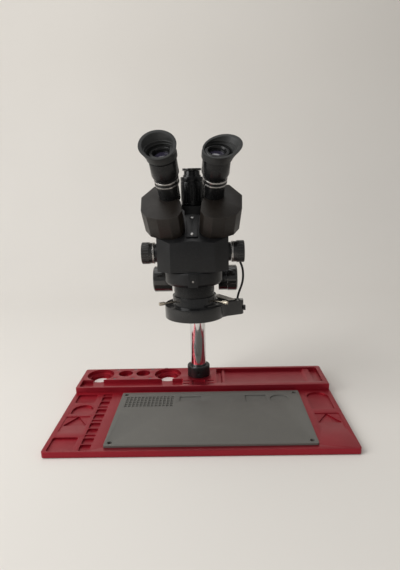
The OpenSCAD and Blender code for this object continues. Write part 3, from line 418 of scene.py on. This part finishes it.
DARK_STEEL = metal("dark_steel", (0.030, 0.029, 0.029), (0.3, 0.45))
# The pale sheet on the lamp's lug: its colour is a painted reflection of the bright room.
PAINTED_LUG_SHEEN = coated("painted_lug_sheen", (0.50, 0.455, 0.40), (0.58, 0.53, 0.475), (0.66, 0.62, 0.57),
                   rough=(0.24, 0.38), grain=1500, depth=0.00003, wear=0.4)
# Nodes whose finish differs from the rest of their slot.
OWN_FINISH = {"focus_knob_left": KNOB, "focus_knob_right": KNOB, "collar_screws": DARK_STEEL,
              "zoom_shaft": DARK_STEEL}
SLOT_OF = {s["node"]: s["material_slot"] for s in frame["record"]["subparts"]}


# ---------- the CAD nodes that stay ----------

# How wide each node's edges are rounded, in millimetres.
ROUND = {
    "base_plate": 0.7, "work_pad": 0.5, "head_body": 1.2, "prism_housing_left": 1.6,
    "prism_housing_right": 1.6, "focus_block": 0.9, "ring_carriage": 1.0, "lamp_housing": 1.2,
    "objective_barrel": 0.5, "port_tube": 0.5, "port_cap": 0.7, "pillar_cap": 0.5,
    "focus_knob_left": 0.8, "focus_knob_right": 0.8, "clamp_knob": 0.8, "tension_ring": 0.5,
    "pillar_collar": 0.6, "head_plate": 0.3,
}
OTHER_ROUND = 0.25
REPLACED = {"lamp_lead", "lead_hank"}
# Edges that turn by more than this many degrees are rounded and stay sharp in the shading.
EDGE_ANGLE = 32
WELD_GAP = 0.004


def dress(obj, material, width):
    """A piece's finish: welded vertices, edges rounded to the width and smooth shading."""
    obj.data.materials.clear()
    obj.data.materials.append(material)
    weld = obj.modifiers.new("weld", "WELD")
    weld.merge_threshold = WELD_GAP * MM
    if width:
        bevel = obj.modifiers.new("bevel", "BEVEL")
        bevel.width = width * MM
        bevel.segments = 3
        bevel.limit_method = "ANGLE"
        bevel.angle_limit = math.radians(EDGE_ANGLE)
        bevel.use_clamp_overlap = True
        bevel.harden_normals = False
    for face in obj.data.polygons:
        face.use_smooth = True
    node = obj.modifiers.new("smooth", "NODES")
    node.node_group = smooth_group()


def repaint(name, material, chosen):
    """Gives a second material to the faces whose middle passes the test."""
    obj = NODES[name]
    obj.data.materials.append(material)
    for face in obj.data.polygons:
        if chosen(face.center):
            face.material_index = len(obj.data.materials) - 1


def smooth_group():
    """Sharp edges past the angle, and smooth faces everywhere else."""
    name = f"smooth_by_angle_{EDGE_ANGLE}"
    group = bpy.data.node_groups.get(name)
    if group:
        return group
    group = bpy.data.node_groups.new(name, "GeometryNodeTree")
    group.interface.new_socket("Geometry", in_out="INPUT", socket_type="NodeSocketGeometry")
    group.interface.new_socket("Geometry", in_out="OUTPUT", socket_type="NodeSocketGeometry")
    n, link = group.nodes, group.links
    start, end = n.new("NodeGroupInput"), n.new("NodeGroupOutput")
    turn = n.new("GeometryNodeInputMeshEdgeAngle")
    test = n.new("FunctionNodeCompare")
    test.operation = "LESS_THAN"
    test.inputs[1].default_value = math.radians(EDGE_ANGLE)
    edge = n.new("GeometryNodeSetShadeSmooth")
    edge.domain = "EDGE"
    face = n.new("GeometryNodeSetShadeSmooth")
    face.domain = "FACE"
    link.new(turn.outputs["Unsigned Angle"], test.inputs[0])
    link.new(start.outputs[0], edge.inputs["Geometry"])
    link.new(test.outputs[0], edge.inputs["Shade Smooth"])
    link.new(edge.outputs[0], face.inputs["Geometry"])
    link.new(face.outputs[0], end.inputs[0])
    return group


for name, obj in NODES.items():
    if name not in REPLACED:
        dress(obj, OWN_FINISH.get(name, MATS[SLOT_OF[name]]), ROUND.get(name, OTHER_ROUND))
lead.data.materials.append(MATS["lead_jacket"])

# The black band of a dioptre ring, measured from the ring's foot.
BAND_FOOT, BAND_TOP = 2.85, 6.35
# The plug's steel shell starts this far past the lead's last point.
SHELL_START = 20.5


def dioptre_axis(side):
    """The direction of a dioptre ring's axis, and how far along it the ring's foot lies."""
    splay = math.radians(-SPLAY if side == "left" else SPLAY)
    axis = (Matrix.Rotation(math.radians(SLOPE), 3, "X") @ Matrix.Rotation(splay, 3, "Y")
            @ Vector((0, 0, 1)))
    foot = min(v.co.dot(axis) for v in NODES[f"dioptre_ring_{side}"].data.vertices)
    return axis, foot


for side in ("left", "right"):
    axis, foot = dioptre_axis(side)
    repaint(f"dioptre_ring_{side}", MATS["black_anodised"],
            lambda c: BAND_FOOT * MM < c.dot(axis) - foot < BAND_TOP * MM)
repaint("usb_plug", MATS["steel"], lambda c: c.x < (LEAD_TAIL[-1][0] - SHELL_START) * MM)


# ---------- pieces made here ----------

# The folds inside an eyecup: their heights over its foot and their thickness, which falls to
# the least share of it where the wall ends within the look-up heights over the fold.
FOLD_HEIGHTS = (9.5, 13.5)
FOLD_THICK = 0.95
FOLD_LEAST = 0.12
FOLD_LOOK_UP = (1, 2, 3, 4)


def moulded(name, mesh, material, width):
    """The object of a finished bmesh, with its finish."""
    bmesh.ops.recalc_face_normals(mesh, faces=mesh.faces)
    data = bpy.data.meshes.new(name)
    mesh.to_mesh(data)
    obj = add_object(name, data)
    dress(obj, material, width)
    return obj


def cup_folds(side, count=96, sides=10):
    """Moulded folds inside an eyecup: each follows the wall at one height and fades at the rim."""
    joint = next(j for j in frame["joints"] if j["name"] == f"eyecup_turn_{side}")
    axis = Vector(joint["axis"]).normalized()
    pos = Vector(joint["pos_m"])
    cup = NODES[f"eyecup_{side}"].data
    wall = BVHTree.FromPolygons([v.co for v in cup.vertices],
                                [tuple(f.vertices) for f in cup.polygons])
    foot = min(v.co.dot(axis) for v in cup.vertices)
    across = axis.cross(Vector((1, 0, 0))).normalized()
    along = axis.cross(across)
    mesh = bmesh.new()
    for height in FOLD_HEIGHTS:
        centre = pos + axis * (foot + height * MM - pos.dot(axis))
        rings = []
        for i in range(count):
            a = 2 * math.pi * i / count
            out = across * math.cos(a) + along * math.sin(a)
            hit = wall.ray_cast(centre, out)[0]
            above = [wall.ray_cast(centre + axis * k * MM, out)[0] for k in FOLD_LOOK_UP]
            if hit is None or above[0] is None:
                rings.append(None)
                continue
            share = sum(p is not None for p in above) / len(above)
            size = FOLD_THICK * MM * (FOLD_LEAST + (1 - FOLD_LEAST) * share)
            reach = (hit - centre).length
            turns = (2 * math.pi * k / sides for k in range(sides))
            rings.append([mesh.verts.new(centre + out * (reach - size * math.cos(b))
                                         + axis * size * math.sin(b)) for b in turns])
        for i, ring in enumerate(rings):
            after = rings[(i + 1) % count]
            before = rings[i - 1]
            if ring and after:
                for k in range(sides):
                    n = (k + 1) % sides
                    mesh.faces.new((ring[k], ring[n], after[n], after[k]))
            if ring and not before:
                mesh.faces.new(ring)
            if ring and not after:
                mesh.faces.new(ring[::-1])
    obj = moulded(f"cup_folds_{side}", mesh, MATS["eyecup_rubber"], 0)
    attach(obj, f"cup_{side}")


for side in ("left", "right"):
    cup_folds(side)


# A pale sheet on the lamp's lug, a painted reflection of the bright room in the lug's glossy
# top: its corners from the optical axis, how deep it is let in, its thickness, the rounding of
# its edges and the x past which the lamp's housing is all lug.
SHEEN_OUTLINE = [(32, 27), (36.5, 39.5), (58.4, 11.6), (62, 11), (62, 3.6), (52.5, 0.6)]
SHEEN_SINK, SHEEN_THICK, SHEEN_ROUND = 0.2, 0.6, 0.2
LUG_INNER_X = 40


def painted_lug_sheen():
    """A pale sheet let into the top of the lamp's lug: a painted reflection of the bright room on its glossy top.
    """
    housing = NODES["lamp_housing"].data
    top = max(v.co.z for v in housing.vertices if v.co.x > LUG_INNER_X * MM)
    mesh = bmesh.new()
    face = mesh.faces.new([
        mesh.verts.new(mm(x + SCOPE_X, y + AXIS_Y, 0) + Vector((0, 0, top - SHEEN_SINK * MM)))
        for x, y in SHEEN_OUTLINE])
    if face.normal.z < 0:
        face.normal_flip()
    rise = bmesh.ops.extrude_face_region(mesh, geom=[face])["geom"]
    bmesh.ops.translate(mesh, verts=[v for v in rise if isinstance(v, bmesh.types.BMVert)],
                        vec=(0, 0, SHEEN_THICK * MM))
    obj = moulded("lamp_lug_painted_sheen", mesh, PAINTED_LUG_SHEEN, SHEEN_ROUND)
    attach(obj, "lamp")


painted_lug_sheen()


# ---------- stage and light ----------

def stage_floor():
    """A pale sweep: floor, curve and wall."""
    front, depth, height, bend, half = -3.2, 1.6, 2.6, 0.9, 4.0
    mesh = bpy.data.meshes.new("sweep")
    line = [(front, 0.0)]
    line += [(depth - bend + bend * math.sin(a), bend - bend * math.cos(a))
             for a in (math.radians(d) for d in range(0, 91, 6))]
    line += [(depth, height)]
    verts = [(x, y, z) for y, z in line for x in (-half, half)]
    faces = [(2 * i, 2 * i + 1, 2 * i + 3, 2 * i + 2) for i in range(len(line) - 1)]
    mesh.from_pydata(verts, [], faces)
    for face in mesh.polygons:
        face.use_smooth = True
    obj = add_object("sweep", mesh)
    p = Paint("sweep", Roughness=0.75, Specular_IOR_Level=0.2)
    cloud = p.spread(p.noise(0.9, 3, 0.5), 0.3, 0.7, 0, 1)
    p.colour(p.mix(cloud, (0.76, 0.73, 0.69), (0.72, 0.69, 0.65)))
    mesh.materials.append(p.mat)


stage_floor()


def soft_light(name, place, target, size, power, colour):
    """A rectangular light that faces its target."""
    light = bpy.data.lights.new(name, "AREA")
    light.shape = "RECTANGLE"
    light.size, light.size_y = size
    light.energy = power
    light.color = colour
    obj = add_object(name, light)
    obj.location = place
    obj.rotation_euler = (Vector(target) - Vector(place)).to_track_quat("-Z", "Y").to_euler()


soft_light("window", (-1.6, -0.9, 1.3), (0, 0, 0.2), (1.6, 1.6), 40, (1.0, 1.0, 0.99))
soft_light("room", (1.6, -1.2, 1.3), (0, 0, 0.2), (1.4, 1.4), 3, (1.0, 0.96, 0.92))
soft_light("ceiling", (-0.7, 0.2, 2.2), (-0.1, 0, 0), (2.0, 2.0), 13, (1.0, 0.99, 0.98))

world = bpy.data.worlds.new("world")
world.use_nodes = True
backdrop = world.node_tree.nodes["Background"]
backdrop.inputs["Color"].default_value = (0.78, 0.78, 0.77, 1)
backdrop.inputs["Strength"].default_value = 0.40
bpy.context.scene.world = world
bpy.context.scene.view_settings.view_transform = "Standard"
